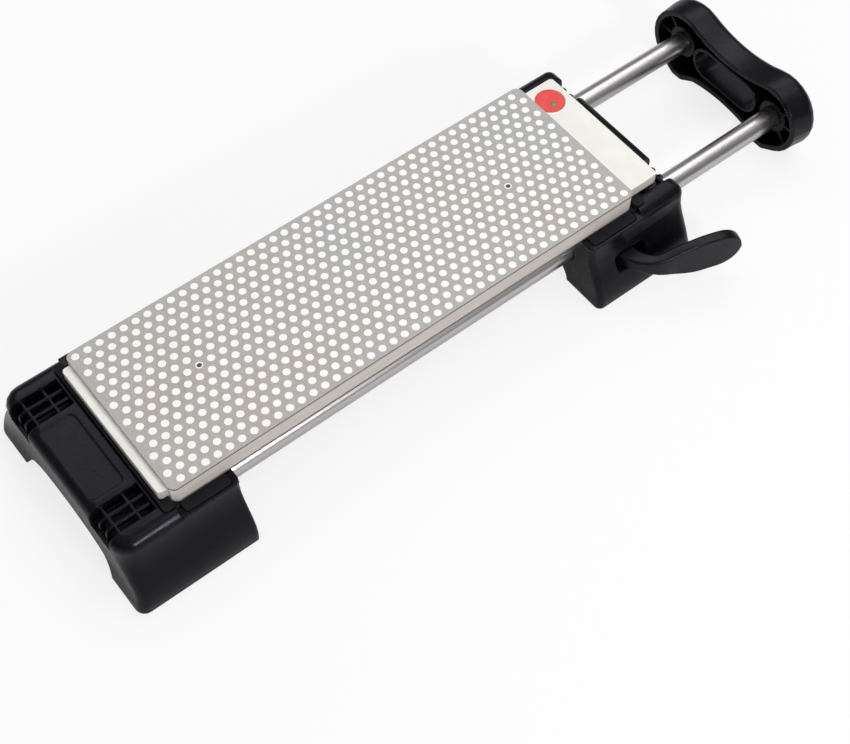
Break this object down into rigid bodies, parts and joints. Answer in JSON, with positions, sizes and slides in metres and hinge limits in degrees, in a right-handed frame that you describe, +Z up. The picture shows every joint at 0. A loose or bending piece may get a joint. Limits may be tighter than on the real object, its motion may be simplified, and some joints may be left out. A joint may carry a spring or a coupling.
{
  "type": "diamond bench stone",
  "caption": "Perforated diamond bench stone held in an adjustable clamp base of parallel rails, with a fixed block, a sliding block released by a side lever, and an end handle.",
  "frame": {"origin": "on the bench, under the middle of the whole object's box", "axes": "+X along the stone from the fixed block to the handle, +Y away from the lever's side, +Z up from the bench"},
  "size_m": [0.3206, 0.11, 0.0387],
  "materials": {
    "black_plastic": "fine satin moulding",
    "black_rubber": "matt rubber",
    "rail_chrome": "polished",
    "screw_steel": "plain zinc",
    "white_plastic": "satin",
    "abrasive_steel": "sparkling diamond grit over perforated steel",
    "red_plastic": "satin",
    "green_plastic": "satin"
  },
  "bodies": {
    "base": {"fixed_block": "black_plastic", "fixed_mat": "black_rubber", "fixed_stop": "black_rubber", "fixed_foot_near": "black_rubber", "fixed_foot_far": "black_rubber", "rail_near": "rail_chrome", "rail_far": "rail_chrome", "fixed_rail_screw_near": "screw_steel", "fixed_rail_screw_far": "screw_steel", "handle": "black_plastic", "handle_foot_near": "black_rubber", "handle_foot_far": "black_rubber", "handle_screw_near": "screw_steel", "handle_screw_far": "screw_steel"},
    "slider": {"sliding_block": "black_plastic", "sliding_mat": "black_rubber", "sliding_stop": "black_rubber", "sliding_foot_near": "black_rubber", "sliding_foot_far": "black_rubber", "lever_pin": "screw_steel", "lever_spring": "screw_steel"},
    "lever": {"lever": "black_plastic"},
    "stone": {"stone_core": "white_plastic", "top_plate": "abrasive_steel", "bottom_plate": "abrasive_steel", "grade_mark_top": "red_plastic", "grade_mark_bottom": "green_plastic"}
  },
  "joints": [
    {"name": "clamp_slide", "type": "slide", "parent": "base", "child": "slider", "axis": [1, 0, 0], "range_m": [0, 0.055]},
    {"name": "lever_pivot", "type": "hinge", "parent": "slider", "child": "lever", "pos_m": [0.05769, -0.02662, 0.0159], "axis": [0, 0, 1], "range_deg": [0, 9], "stiffness_Nm_per_rad": 0.3},
    {"name": "stone_lift", "type": "slide", "parent": "base", "child": "stone", "axis": [0, 0, 1], "range_m": [0, 0.06]}
  ]
}
